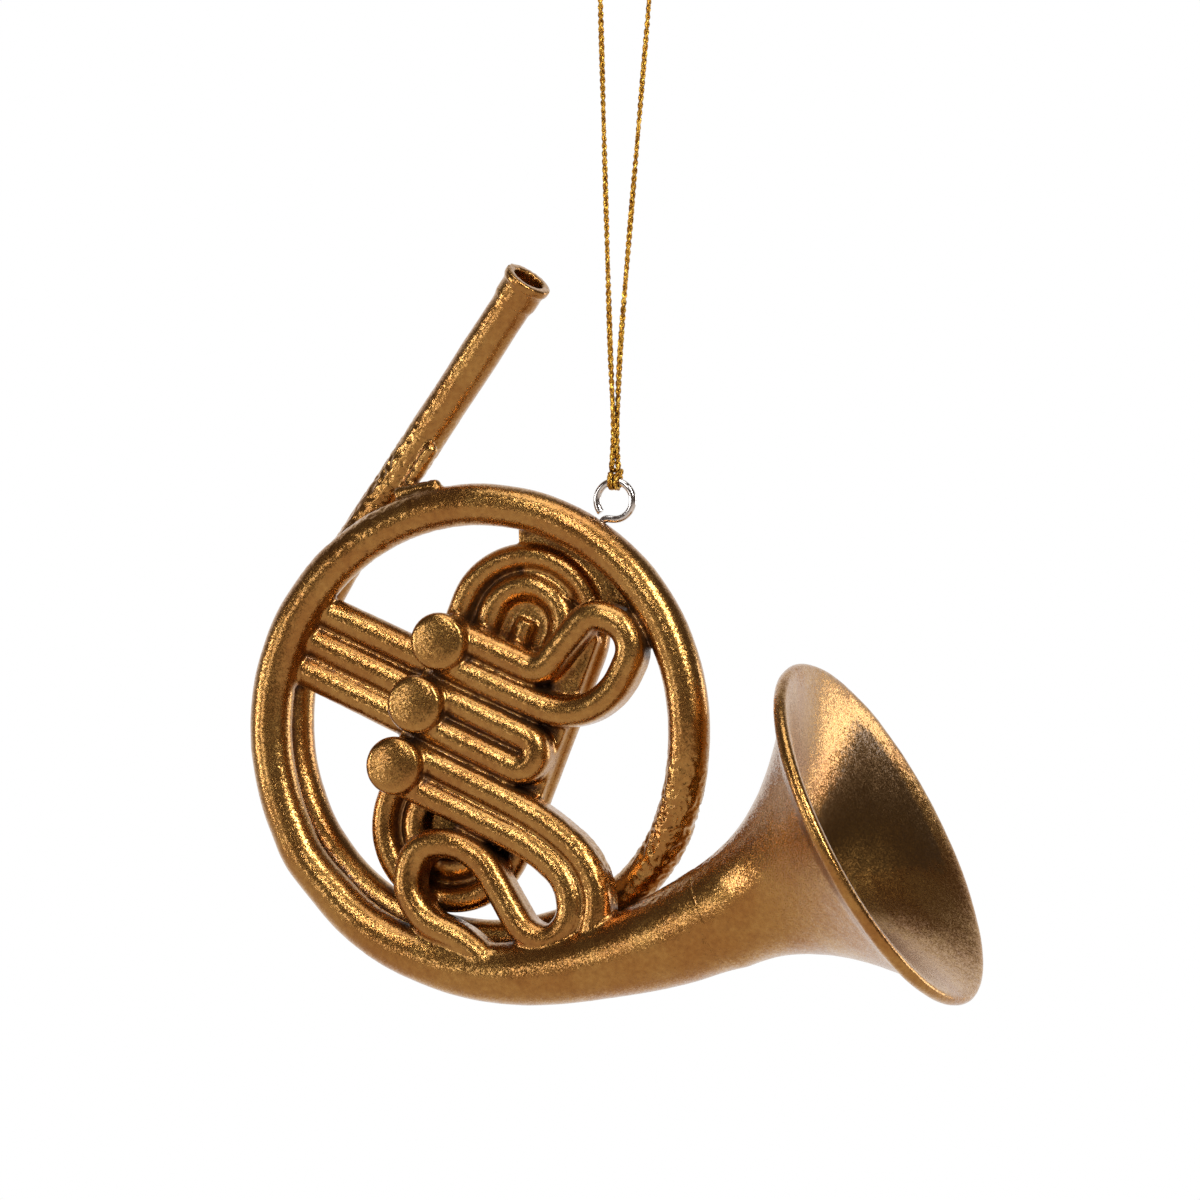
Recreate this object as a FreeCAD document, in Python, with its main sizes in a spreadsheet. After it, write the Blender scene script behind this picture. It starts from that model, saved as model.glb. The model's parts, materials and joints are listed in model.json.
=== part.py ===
import FreeCAD, Part
import Sketcher
import math
import os

# A hanging ornament in the shape of a french horn: a cast horn with a screw eye in its top right,
# on a loop of braided metallic cord.  Millimetres, +Z up, the horn's front faces -Y.
# The origin is the underside of the cord loop's top, where the ornament hangs from its hook.
# Places on the horn are given from the centre of its front coil: x to the right, y to the back, z up.

Vector = FreeCAD.Vector
Placement = FreeCAD.Placement
Rotation = FreeCAD.Rotation
TO_RIGHT = Vector(1, 0, 0)
TO_BACK = Vector(0, 1, 0)
UPWARD = Vector(0, 0, 1)

document = FreeCAD.newDocument("french_horn_ornament")

DIMENSIONS = [
    ("coil_centre_x", -20.4, "front coil's centre, from the origin"),
    ("coil_centre_z", -104.1, "front coil's centre, from the origin"),
    ("balance_depth", 0.8, "how far behind the front coil's plane the screw eye and cord lie"),
    ("coil_radius", 30.25, "centreline radius of the front coil"),
    ("coil_bulge", 0.4, "how far the coil is out of round, at the lower left"),
    ("coil_tube_radius", 2.88, "half the front coil's thickness"),
    ("back_coil_radius", 29.05, "centreline radius of the coil behind it"),
    ("back_tube_radius", 2.78, "half the thickness of the back coil and leadpipe"),
    ("back_depth", 5.75, "how far the back coil lies behind the front one"),
    ("coil_start", 222.0, "angle at which the bell's tail becomes the front coil, in degrees"),
    ("coil_end", -40.0, "angle at which the front coil becomes the back one"),
    ("back_coil_end", -205.0, "angle at which the back coil becomes the leadpipe"),
    ("bell_angle", 26.5, "rise of the bell's axis, in degrees"),
    ("bell_centre_x", 58.1, "centre of the bell's mouth"),
    ("bell_centre_z", -14.2, "centre of the bell's mouth"),
    ("bell_mouth_radius", 25.6, "outer radius of the rolled lip"),
    ("bell_length", 26.0, "flare, from the mouth back to the tail"),
    ("bell_tail_radius", 7.7, "outer radius where the flare meets the tail"),
    ("bell_curve", 1.92, "power of the flare's outer curve"),
    ("hollow_length", 14.0, "depth of the bell's hollow"),
    ("hollow_end_radius", 4.5, "radius of the hollow's flat end"),
    ("hollow_curve", 2.2, "power of the hollow's curve"),
    ("lip_radius", 1.25, "half the thickness of the rolled lip"),
    ("receiver_radius", 3.15, "outer radius of the mouthpiece receiver"),
    ("receiver_bore_radius", 2.2, "radius of its blind bore"),
    ("receiver_length", 4.3, "length of the mouthpiece receiver"),
    ("receiver_bore_depth", 3.2, "depth of its blind bore"),
    ("valve_radius", 3.75, "outer radius of a valve casing"),
    ("valve_length", 5.0, "height of a valve casing"),
    ("valve_back", 1.0, "depth of the casings' and slides' backs, where they meet the bed"),
    ("cap_radius", 4.0, "radius of a valve cap"),
    ("cap_thickness", 1.3, "thickness of a valve cap"),
    ("cap_round", 0.9, "rounding of the cap's front edge"),
    ("slide_width", 4.15, "width of a valve slide's tube"),
    ("slide_front", -3.8, "depth of the slides' crests"),
    ("run_angle", -24.5, "direction of the slides' runs, in degrees"),
    ("bed_width", 16.5, "valve bed, along the runs"),
    ("bed_height", 24.0, "valve bed, across the runs"),
    ("bed_thickness", 1.2, "thickness of the valve bed"),
    ("lever_radius", 2.22, "half the thickness of a valve lever"),
    ("lever_depth", 1.9, "depth of the levers' centrelines"),
    ("loop_outer_radius", 10.0, "centreline radius of the outer back loop"),
    ("loop_outer_width", 3.5, "width of the outer back loop's tube"),
    ("loop_inner_radius", 5.3, "centreline radius of the inner back loop"),
    ("loop_inner_width", 3.8, "width of the inner back loop's tube"),
    ("loop_front", 1.4, "depth of the back loops' front crests"),
    ("loop_back", 5.4, "depth of the back loops' back crests"),
    ("nub_width", 3.0, "width of the bar inside the loops"),
    ("web_depth", 3.9, "depth of the middle of the web between the loops"),
    ("web_thickness", 1.2, "thickness of the web between the loops"),
    ("brace_radius", 1.0, "half the thickness of the leadpipe's brace"),
    ("bracket_front", 2.5, "depth of the coil bracket's front"),
    ("bracket_thickness", 2.2, "thickness of the coil bracket"),
    ("eye_x", 19.05, "centre of the screw eye"),
    ("eye_z", 30.5, "centre of the screw eye"),
    ("eye_radius", 2.575, "centreline radius of the screw eye"),
    ("eye_wire_radius", 0.525, "half the thickness of the screw eye's wire"),
    ("eye_bend_radius", 0.9, "radius of the bend between the screw eye's ring and shank"),
    ("eye_ring_start", 265.0, "angle at which the screw eye's ring leaves its shank, in degrees"),
    ("eye_ring_end", 580.0, "angle of the ring's free end, in degrees"),
    ("eye_shank_reach", 7.6, "from the middle of the screw eye to the foot of its shank"),
    ("cord_radius", 0.38, "half the thickness of the cord"),
    ("strand_gap", 0.04, "clearance between the two strands where they touch"),
    ("wrap_radius", 0.96, "centreline radius of the hitch's turns round the wire"),
    ("wrap_spacing", 0.9, "distance between the middles of the hitch's two turns"),
    ("bight_radius", 1.2, "centreline radius of the bight behind the strands"),
    ("bight_rise", 2.1, "height of the bight above the screw eye's top"),
    ("hook_radius", 3.4, "radius of the cord round its hook"),
    ("knot_radius", 1.05, "radius of the knot"),
    ("knot_end_length", 4.2, "length of the knot's two free ends, from its middle"),
    ("split_height", 47.0, "height at which the two strands part"),
]


def fill_sheet():
    sheet = document.addObject("Spreadsheet::Sheet", "sizes")
    for row, (alias, value, meaning) in enumerate(DIMENSIONS, start=1):
        sheet.set("A%d" % row, alias)
        sheet.set("B%d" % row, str(value))
        sheet.set("C%d" % row, meaning)
        sheet.setAlias("B%d" % row, alias)
    document.recompute()
    return sheet


sizes = fill_sheet()
nodes = []


def size(alias):
    return float(sizes.get(alias))


def at(x, y, z):
    """A place given from the front coil's centre, in the part's frame."""
    return Vector(size("coil_centre_x") + x, y - size("balance_depth"), size("coil_centre_z") + z)


def turned(angle):
    """A turn in the horn's plane, anticlockwise as seen from the front."""
    return Rotation(TO_BACK, -angle)


def node(piece):
    """Marks an object as one of the ornament's pieces."""
    nodes.append(piece)
    return piece


# ---------------------------------------------------------------- paths, tubes and cuts

def corner_arc(before, corner, after, radius):
    """The arc that rounds a corner, and where it starts and ends."""
    inward = (before - corner).normalize()
    outward = (after - corner).normalize()
    half_turn = (math.pi - inward.getAngle(outward)) / 2
    reach = radius * math.tan(half_turn)
    start = corner + inward * reach
    end = corner + outward * reach
    bisector = (inward + outward).normalize()
    middle = corner + bisector * (radius / math.cos(half_turn) - radius)
    return Part.Arc(start, middle, end).toShape(), start, end


def largest_radius(before, corner, after):
    """The arc that two runs leave room for."""
    shorter = min((corner - before).Length, (after - corner).Length)
    half_turn = (math.pi - (before - corner).getAngle(after - corner)) / 2
    return 0.45 * shorter / math.tan(half_turn)


def route(points, radii=None):
    """Edges of a path: straight runs joined by tangent arcs."""
    edges = []
    here = points[0]
    for index in range(1, len(points) - 1):
        before, corner, after = points[index - 1:index + 2]
        radius = radii[index - 1] if radii else largest_radius(before, corner, after)
        arc, start, end = corner_arc(before, corner, after, radius)
        if (start - here).Length > 0.01:
            edges.append(Part.LineSegment(here, start).toShape())
        edges.append(arc)
        here = end
    edges.append(Part.LineSegment(here, points[-1]).toShape())
    return edges


def racetrack(top, bottom, radius):
    """A closed path: two straight legs joined by half circles round two centres."""
    along = (top - bottom).normalize()
    side = TO_BACK.cross(along) * radius
    legs = [Part.LineSegment(bottom - side, top - side), Part.LineSegment(top + side, bottom + side)]
    ends = [Part.Arc(top - side, top + along * radius, top + side),
            Part.Arc(bottom + side, bottom - along * radius, bottom - side)]
    return [legs[0].toShape(), ends[0].toShape(), legs[1].toShape(), ends[1].toShape()]


def path_object(name, edges):
    path = document.addObject("Part::Feature", name + "_path")
    path.Shape = Part.Wire(edges)
    return path


def start_of(path):
    first = path.Shape.OrderedEdges[0]
    return first.valueAt(first.FirstParameter), first.tangentAt(first.FirstParameter)


def swept(name, path, section):
    sweep = document.addObject("Part::Sweep", name)
    sweep.Sections = [section]
    sweep.Spine = (path, [])
    sweep.Solid = True
    return sweep


def circle_section(name, centre, direction, radius_cell):
    section = document.addObject("Part::Circle", name)
    section.setExpression("Radius", "sizes." + radius_cell)
    section.Placement = Placement(centre, Rotation(UPWARD, direction))
    return section


def tube(name, edges, radius_cell):
    """A round tube along a path."""
    path = path_object(name, edges)
    start, direction = start_of(path)
    return swept(name, path, circle_section(name + "_section", start, direction, radius_cell))


def channel(name, edges, width, front, back, round_back):
    """A moulded tube, deeper than wide: round at its front, and flat or round at its back."""
    path = path_object(name, edges)
    start, direction = start_of(path)
    half = width / 2
    across = direction.cross(TO_BACK).normalize() * half
    shoulder = TO_BACK * (front + half - size("balance_depth") - start.y)
    foot = TO_BACK * (back - (half if round_back else 0) - size("balance_depth") - start.y)
    corners = [start + shoulder - across, start + foot - across,
               start + foot + across, start + shoulder + across]
    crest = start + shoulder - TO_BACK * half
    keel = start + foot + TO_BACK * half
    far_side = Part.LineSegment(corners[1], corners[2])
    if round_back:
        far_side = Part.Arc(corners[1], keel, corners[2])
    outline = [Part.LineSegment(corners[0], corners[1]).toShape(), far_side.toShape(),
               Part.LineSegment(corners[2], corners[3]).toShape(),
               Part.Arc(corners[3], crest, corners[0]).toShape()]
    section = document.addObject("Part::Feature", name + "_section")
    section.Shape = Part.Wire(outline)
    return swept(name, path, section)


def rod(name, start, end, radius_cell):
    """A straight rod with a round start."""
    shaft = document.addObject("Part::Cylinder", name + "_shaft")
    shaft.setExpression("Radius", "sizes." + radius_cell)
    shaft.Height = (end - start).Length
    shaft.Placement = Placement(start, Rotation(UPWARD, end - start))
    tip = document.addObject("Part::Sphere", name + "_tip")
    tip.setExpression("Radius", "sizes." + radius_cell)
    tip.Placement = Placement(start, Rotation())
    return joined(name, [shaft, tip])


def joined(name, pieces):
    result = document.addObject("Part::MultiFuse", name)
    result.Shapes = pieces
    return result


def cut(name, base, neighbours):
    """A piece, less the neighbours that it is fitted to."""
    tool = neighbours[0]
    if len(neighbours) > 1:
        tool = joined(name + "_neighbours", neighbours)
    result = document.addObject("Part::Cut", name)
    result.Base = base
    result.Tool = tool
    return result


# ---------------------------------------------------------------- bodies from sketches

def body_sketch(body, plane):
    """A sketch on one of the body's own origin planes."""
    origin_plane = [item for item in body.Origin.OriginFeatures if item.Role == plane][0]
    sketch = body.newObject("Sketcher::SketchObject", body.Name + "_sketch")
    sketch.AttachmentSupport = [(origin_plane, "")]
    sketch.MapMode = "FlatFace"
    return sketch


def bind(sketch, name, constraint, expression):
    index = sketch.addConstraint(constraint)
    sketch.renameConstraint(index, name)
    sketch.setExpression("Constraints." + name, expression)


def padded_body(name, sketch_of, length_cell, place, rotation):
    """A body raised from a sketch in the horn's plane, out towards the front."""
    body = document.addObject("PartDesign::Body", name)
    sketch = body_sketch(body, "XZ_Plane")
    sketch_of(sketch)
    pad = body.newObject("PartDesign::Pad", name + "_pad")
    pad.Profile = sketch
    pad.setExpression("Length", "sizes." + length_cell)
    body.Placement = Placement(place, rotation)
    document.recompute()
    return body


def circle_of(radius_cell):
    def draw(sketch):
        circle = sketch.addGeometry(Part.Circle(Vector(), UPWARD, 1), False)
        bind(sketch, "outer", Sketcher.Constraint("Radius", circle, 1), "sizes." + radius_cell)
    return draw


def rectangle_of(width_cell, height_cell):
    def draw(sketch):
        corners = [Vector(-1, -1), Vector(1, -1), Vector(1, 1), Vector(-1, 1)]
        sides = [sketch.addGeometry(Part.LineSegment(corners[i], corners[(i + 1) % 4]), False)
                 for i in range(4)]
        for i in range(4):
            sketch.addConstraint(Sketcher.Constraint("Coincident", sides[i], 2, sides[(i + 1) % 4], 1))
        for side in (sides[0], sides[2]):
            sketch.addConstraint(Sketcher.Constraint("Horizontal", side))
        for side in (sides[1], sides[3]):
            sketch.addConstraint(Sketcher.Constraint("Vertical", side))
        sketch.addConstraint(Sketcher.Constraint("Symmetric", sides[0], 1, sides[1], 2, -1, 1))
        bind(sketch, "width", Sketcher.Constraint("DistanceX", sides[0], 1, sides[0], 2, 2),
             "sizes." + width_cell)
        bind(sketch, "height", Sketcher.Constraint("DistanceY", sides[1], 1, sides[1], 2, 2),
             "sizes." + height_cell)
    return draw


def revolved_body(name, outline, place, rotation):
    """A body turned about its own Z axis from an outline of radius and height."""
    body = document.addObject("PartDesign::Body", name)
    sketch = body_sketch(body, "XZ_Plane")
    for curve in outline:
        sketch.addGeometry(curve, False)
    turn = body.newObject("PartDesign::Revolution", name + "_turn")
    turn.Profile = sketch
    turn.ReferenceAxis = (sketch, ["V_Axis"])
    turn.Angle = 360
    body.Placement = Placement(place, rotation)
    document.recompute()
    return body


# ---------------------------------------------------------------- the coil and the leadpipe

def smooth_step(value):
    value = min(1.0, max(0.0, value))
    return value * value * (3 - 2 * value)


def coil_place(angle, outward=1.0):
    """The coil's centreline: one and three quarter turns, drifting to the back on the right."""
    tail_spread = 0.75 * smooth_step((angle - 195) / 27)
    settled = smooth_step((-30 - angle) / 45)
    leaving = 0.9 * smooth_step((-180 - angle) / 25)
    radius = size("coil_radius") + tail_spread + leaving
    radius += (size("back_coil_radius") - size("coil_radius")) * settled
    radius += size("coil_bulge") * math.cos(math.radians(angle - 225))
    depth = size("back_depth") * smooth_step(-angle / 60)
    turn = math.radians(angle)
    return at(radius * outward * math.cos(turn), depth, radius * outward * math.sin(turn))


def coil_corners(first, last, steps):
    """Corners of a path round the coil: each stands outside the curve that its arc touches."""
    step = (last - first) / steps
    outward = 1 / math.cos(math.radians(step / 2))
    return [coil_place(first + step * (i + 0.5), outward) for i in range(steps)]


FRONT_STEPS = 17
BACK_STEPS = 11

RECEIVER_MOUTH = at(6.75, 0.6, 60.7)
LEADPIPE_BEND = at(-24.2, 5.8, 19.6)
LEADPIPE_CROSSING = at(-15.2, 5.75, 32.0)


def leadpipe_direction():
    return (RECEIVER_MOUTH - LEADPIPE_CROSSING).normalize()


def receiver_foot():
    return RECEIVER_MOUTH - leadpipe_direction() * size("receiver_length")


def make_coil(screw_eye):
    start = coil_place(size("coil_start"))
    front = coil_corners(size("coil_start"), size("coil_end"), FRONT_STEPS)
    back = coil_corners(size("coil_end"), size("back_coil_end"), BACK_STEPS)
    points = [start] + front + back + [LEADPIPE_BEND, LEADPIPE_CROSSING, receiver_foot()]
    edges = route(points)
    front_end = 2 * FRONT_STEPS
    back_end = front_end + 2 * BACK_STEPS
    main_tube = tube("main_coil_tube", edges[:front_end], "coil_tube_radius")
    main_coil = node(cut("main_coil", main_tube, [screw_eye]))
    back_coil = node(tube("back_coil", edges[front_end:back_end], "back_tube_radius"))
    leadpipe = node(tube("leadpipe", edges[back_end:], "back_tube_radius"))
    return main_coil, back_coil, leadpipe


def make_receiver():
    outer = size("receiver_radius")
    bore = size("receiver_bore_radius")
    length = size("receiver_length")
    neck = size("back_tube_radius") + 0.1
    floor = length - size("receiver_bore_depth")
    corners = [(0, 0), (neck, 0), (outer - 0.1, 0.7), (outer - 0.1, 2.9), (outer + 0.25, 3.3),
               (outer + 0.25, length), (bore, length), (bore, floor), (0, floor)]
    points = [Vector(x, z) for x, z in corners]
    outline = [Part.LineSegment(points[i], points[(i + 1) % len(points)]) for i in range(len(points))]
    return node(revolved_body("mouthpiece_receiver", outline, receiver_foot(),
                              Rotation(UPWARD, leadpipe_direction())))


def make_brace(leadpipe, main_coil):
    strut = rod("leadpipe_strut", at(-7.9, 1.6, 37.4), at(-12.4, 2.6, 31.0), "brace_radius")
    brace = node(cut("leadpipe_brace", strut, [leadpipe, main_coil]))
    bar = rod("brace_bar", at(-6.6, -0.2, 32.4), at(-12.6, 1.2, 31.4), "brace_radius")
    return brace, node(cut("brace_foot", bar, [leadpipe, main_coil, brace]))


# ---------------------------------------------------------------- the bell

def bell_direction():
    turn = math.radians(size("bell_angle"))
    return Vector(math.cos(turn), 0, math.sin(turn))


def bell_centre():
    return at(size("bell_centre_x"), 0, size("bell_centre_z"))


def make_bell_tail():
    """The tapering tail: circles strung along its centreline."""
    start = coil_place(size("coil_start"))
    throat = bell_centre() - bell_direction() * size("bell_length")
    middle = [(at(-19.1, 0, -25.4), 3.05), (at(-13.6, 0, -29.25), 3.3), (at(-6.9, 0, -32.0), 3.65),
              (at(0.3, 0, -33.5), 4.05), (at(8.5, 0, -33.5), 4.55), (at(16.6, 0, -32.1), 5.2),
              (at(23.2, 0, -30.3), 6.0), (at(29.2, 0, -28.1), 6.8)]
    places = [start] + [place for place, radius in middle] + [throat]
    radii = [size("coil_tube_radius")] + [radius for place, radius in middle]
    radii.append(size("bell_tail_radius"))
    sections = []
    for index, (place, radius) in enumerate(zip(places, radii)):
        before = places[max(index - 1, 0)]
        after = places[min(index + 1, len(places) - 1)]
        direction = after - before
        if index == 0:
            direction = start - coil_corners(size("coil_start"), size("coil_end"), FRONT_STEPS)[0]
        if index == len(places) - 1:
            direction = bell_direction()
        section = document.addObject("Part::Circle", "bell_tail_section_%d" % (index + 1))
        section.Radius = radius
        section.Placement = Placement(place, Rotation(UPWARD, direction))
        sections.append(section)
    loft = document.addObject("Part::Loft", "bell_tail")
    loft.Sections = sections
    loft.Solid = True
    return node(loft)


def flare_curve(depths, length, end_radius, mouth_radius, power):
    """Radii of a flare that widens as a power of the distance from its narrow end."""
    points = []
    for depth in depths:
        widening = (1 - depth / length) ** power
        points.append(Vector(end_radius + (mouth_radius - end_radius) * widening, -depth))
    curve = Part.BSplineCurve()
    curve.interpolate(points)
    return curve, points


def make_bell():
    """The hollow flare and its rolled lip.  Heights are measured back from the mouth."""
    place = bell_centre()
    rotation = Rotation(UPWARD, bell_direction())
    lip = size("lip_radius")
    outer, outer_points = flare_curve([lip, 4, 8, 13, 19, size("bell_length")], size("bell_length"),
                                      size("bell_tail_radius"), size("bell_mouth_radius"),
                                      size("bell_curve"))
    hollow_mouth = size("bell_mouth_radius") - 1.6 * lip
    inner, inner_points = flare_curve([lip, 3, 6, 9, 11.5, size("hollow_length")],
                                      size("hollow_length"), size("hollow_end_radius"),
                                      hollow_mouth, size("hollow_curve"))
    tail_centre = Vector(0, -size("bell_length"))
    hollow_centre = Vector(0, -size("hollow_length"))
    outline = [outer, Part.LineSegment(outer_points[-1], tail_centre),
               Part.LineSegment(tail_centre, hollow_centre),
               Part.LineSegment(hollow_centre, inner_points[-1]), inner,
               Part.LineSegment(inner_points[0], outer_points[0])]
    flare = revolved_body("bell_flare_turned", outline, place, rotation)
    rim = document.addObject("Part::Torus", "bell_rim")
    rim.setExpression("Radius1", "sizes.bell_mouth_radius - sizes.lip_radius")
    rim.setExpression("Radius2", "sizes.lip_radius")
    rim.Placement = Placement(place - bell_direction() * lip, rotation)
    return node(cut("bell_flare", flare, [rim])), node(rim)


# ---------------------------------------------------------------- valves, slides and levers

def on_runs(along, across, depth=0.0):
    """A place in the slides' own directions: along the runs, and across them."""
    turn = math.radians(size("run_angle"))
    return at(along * math.cos(turn) - across * math.sin(turn), depth,
              along * math.sin(turn) + across * math.cos(turn))


VALVE_PLACES = [(-8.8, 8.45), (-8.4, -0.7), (-7.7, -9.6)]

LONG_SLIDE_LOOP = [((-8.6, 10.0), None), ((5.4, 10.3), 2.6), ((8.5, 20.9), 3.2), ((16.4, 21.4), 4.2),
                   ((16.1, 6.4), 9.0), ((-8.6, 5.75), None)]
SHORT_SLIDE_LOOP = [((-8.4, 1.55), None), ((9.6, 1.55), 2.25), ((9.6, -2.95), 2.25),
                    ((-8.4, -2.95), None)]
THIRD_SLIDE_UPPER = [(-7.7, -7.25), (13.0, -7.5), (21.2, -9.5), (25.9, -13.6), (27.3, -20.0)]
THIRD_SLIDE_LOWER = [(-7.7, -11.45), (14.5, -11.65), (20.7, -13.6), (23.5, -17.8), (22.4, -22.2),
                     (18.0, -22.9), (8.4, -16.2), (3.4, -15.8), (-1.0, -18.5), (-0.4, -24.2),
                     (4.2, -27.5), (10.5, -27.3), (17.5, -29.5)]


def slide_tube(name, edges):
    return channel(name, edges, size("slide_width"), size("slide_front"), size("valve_back"), False)


def slide_loop(name, corners):
    points = [on_runs(*place) for place, radius in corners]
    radii = [radius for place, radius in corners[1:-1]]
    return slide_tube(name, route(points, radii))


def make_valves():
    casings = []
    for number, (along, across) in enumerate(VALVE_PLACES, start=1):
        foot = on_runs(along, across, size("valve_back"))
        front = foot - TO_BACK * size("valve_length")
        casings.append(node(padded_body("valve_casing_%d" % number, circle_of("valve_radius"),
                                        "valve_length", foot, Rotation())))
        cap = padded_body("valve_cap_%d" % number, circle_of("cap_radius"), "cap_thickness",
                          front, Rotation())
        pad = cap.Tip
        edges = ["Edge%d" % (index + 1) for index, edge in enumerate(pad.Shape.Edges)
                 if edge.BoundBox.YMax < -size("cap_thickness") + 0.01]
        rounding = cap.newObject("PartDesign::Fillet", cap.Name + "_rounding")
        rounding.Base = (pad, edges)
        rounding.setExpression("Radius", "sizes.cap_round")
        cap.Tip = rounding
        document.recompute()
        node(cap)
    return casings


def make_slides(casings, bell_tail, main_coil):
    first = slide_loop("valve_slide_1_tube", LONG_SLIDE_LOOP)
    second = slide_loop("valve_slide_2_tube", SHORT_SLIDE_LOOP)
    upper = slide_tube("valve_slide_3_upper", route([on_runs(*place) for place in THIRD_SLIDE_UPPER]))
    lower = slide_tube("valve_slide_3_lower", route([on_runs(*place) for place in THIRD_SLIDE_LOWER]))
    slides = [node(cut("valve_slide_1", first, [casings[0], main_coil])),
              node(cut("valve_slide_2", second, [casings[1]])),
              node(cut("valve_slide_3_long_run", upper, [casings[2], bell_tail]))]
    slides.append(node(cut("valve_slide_3_loop", lower, [casings[2], bell_tail, slides[2]])))
    return slides


def make_levers(neighbours):
    ends = [((-22.6, 15.2), (-7.2, 8.5)), ((-24.6, 11.3), (-9.2, 4.2)), ((-25.8, 7.2), (-10.4, 0.1))]
    levers = []
    for number, (left, right) in enumerate(ends, start=1):
        bar = rod("valve_lever_%d_bar" % number, at(left[0], size("lever_depth"), left[1]),
                  at(right[0], size("lever_depth"), right[1]), "lever_radius")
        levers.append(node(cut("valve_lever_%d" % number, bar, neighbours + levers)))


# ---------------------------------------------------------------- back loops, bed and bracket

def loop_ends(top_x, top_z):
    depth = size("web_depth")
    return at(top_x, depth, top_z), at(-5.2, depth, -13.8)


def make_loops(bell_tail, main_coil, back_coil):
    outer_top, outer_bottom = loop_ends(5.6, 13.0)
    inner_top, inner_bottom = loop_ends(5.5, 13.6)
    outer_path = racetrack(outer_top, outer_bottom, size("loop_outer_radius"))
    outer_tube = channel("back_loop_outer_tube", outer_path, size("loop_outer_width"),
                         size("loop_front"), size("loop_back"), True)
    outer = node(cut("back_loop_outer", outer_tube, [bell_tail, main_coil, back_coil]))
    inner_path = racetrack(inner_top, inner_bottom, size("loop_inner_radius"))
    inner = node(channel("back_loop_inner", inner_path, size("loop_inner_width"),
                         size("loop_front"), size("loop_back"), True))
    nub_line = [Part.LineSegment(inner_top + (inner_bottom - inner_top) * 0.9,
                                 inner_top - (inner_bottom - inner_top) * 0.02).toShape()]
    nub = node(channel("loop_nub", nub_line, size("nub_width"), size("loop_front"),
                       size("loop_back"), True))
    web_plate = document.addObject("Part::Extrusion", "loop_web_plate")
    web_plate.Base = path_object("loop_web", outer_path)
    web_plate.Dir = TO_BACK
    web_plate.setExpression("LengthFwd", "sizes.web_thickness / 2")
    web_plate.setExpression("LengthRev", "sizes.web_thickness / 2")
    web_plate.Solid = True
    web = node(cut("loop_web", web_plate, [outer, inner, nub]))
    return outer, inner, nub, web


def make_bed(loops):
    foot = on_runs(-0.5, -0.6, size("valve_back") + size("bed_thickness"))
    slab = padded_body("valve_bed_slab", rectangle_of("bed_width", "bed_height"), "bed_thickness",
                       foot, turned(size("run_angle")))
    return node(cut("valve_bed", slab, loops))


def make_bracket(neighbours):
    corners = [(4.6, 21.5), (4.4, 28.0), (12.8, 25.6), (19.0, 20.4), (22.4, 14.8), (17.0, 12.5),
               (12.0, 17.5)]
    points = [at(x, size("bracket_front"), z) for x, z in corners]
    sides = [Part.LineSegment(points[i], points[(i + 1) % len(points)]).toShape()
             for i in range(len(points))]
    plate = document.addObject("Part::Extrusion", "coil_bracket_plate")
    plate.Base = path_object("coil_bracket", sides)
    plate.Dir = TO_BACK
    plate.setExpression("LengthFwd", "sizes.bracket_thickness")
    plate.Solid = True
    return node(cut("coil_bracket", plate, neighbours))


# ---------------------------------------------------------------- screw eye and cord

def eye_centre():
    return at(size("eye_x"), size("balance_depth"), size("eye_z"))


def make_screw_eye():
    """Bent wire: a shank that stands in the coil, a small bend, and an open ring."""
    centre = eye_centre()
    outward = Vector(size("eye_x"), 0, size("eye_z")).normalize()

    def on_ring(angle):
        turn = math.radians(angle)
        return centre + Vector(math.cos(turn), 0, math.sin(turn)) * size("eye_radius")

    ring_start = size("eye_ring_start")
    ring_end = size("eye_ring_end")
    shank_angle = 180 + math.degrees(math.atan2(size("eye_z"), size("eye_x")))
    shank_foot = centre - outward * size("eye_shank_reach")
    bend_distance = size("eye_radius") / math.cos(math.radians(ring_start - shank_angle))
    shank_bend = centre - outward * bend_distance
    first_of_ring = on_ring(ring_start)
    arc, start, end = corner_arc(shank_foot, shank_bend, first_of_ring,
                                 size("eye_bend_radius"))
    ring = Part.Arc(first_of_ring, on_ring((ring_start + ring_end) / 2), on_ring(ring_end))
    edges = [Part.LineSegment(shank_foot, start).toShape(), arc,
             Part.LineSegment(end, first_of_ring).toShape(), ring.toShape()]
    return node(tube("screw_eye", edges, "eye_wire_radius"))


def half_spacing():
    """From the middle between the two strands to the middle of one."""
    return size("cord_radius") + size("strand_gap") / 2


def split_place(side):
    """Where a strand leaves the other, on the left (-1) or the right (1)."""
    return at(size("eye_x") + side * half_spacing(), size("balance_depth"), size("split_height"))


def cord_route():
    """The loop: up the left leg, round the hook and down the right leg."""
    top = size("cord_radius")
    return [split_place(-1), Vector(-3.57, 0, top), Vector(4.05, 0, top), split_place(1)]


def check_cord(piece, edges):
    length = sum(edge.Length for edge in edges)
    section = math.pi * size("cord_radius") ** 2
    print("%s: length %.2f, volume %.3f, section times length %.3f"
          % (piece.Label, length, piece.Shape.Volume, section * length))


def make_cord():
    edges = route(cord_route(), [size("hook_radius")] * 2)
    print("cord radii:", [round(edge.Curve.Radius, 2) for edge in edges
                          if isinstance(edge.Curve, Part.Circle)])
    hitch_top = size("eye_z") + size("eye_radius") + size("wrap_radius") + size("cord_radius") + 0.15
    strand_drop = size("split_height") - 0.1 - hitch_top
    stretches = {"cord_leg_left": edges[:1], "cord_loop_top": edges[1:-1], "cord_leg_right": edges[-1:]}
    for name, side in (("cord_neck_left", -1), ("cord_neck_right", 1)):
        upper = split_place(side) - UPWARD * 0.1
        stretches[name] = [Part.LineSegment(upper, upper - UPWARD * strand_drop).toShape()]
    cords = {name: node(tube(name, stretch, "cord_radius")) for name, stretch in stretches.items()}
    document.recompute()
    for name, stretch in stretches.items():
        check_cord(cords[name], stretch)
    return cords


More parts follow.
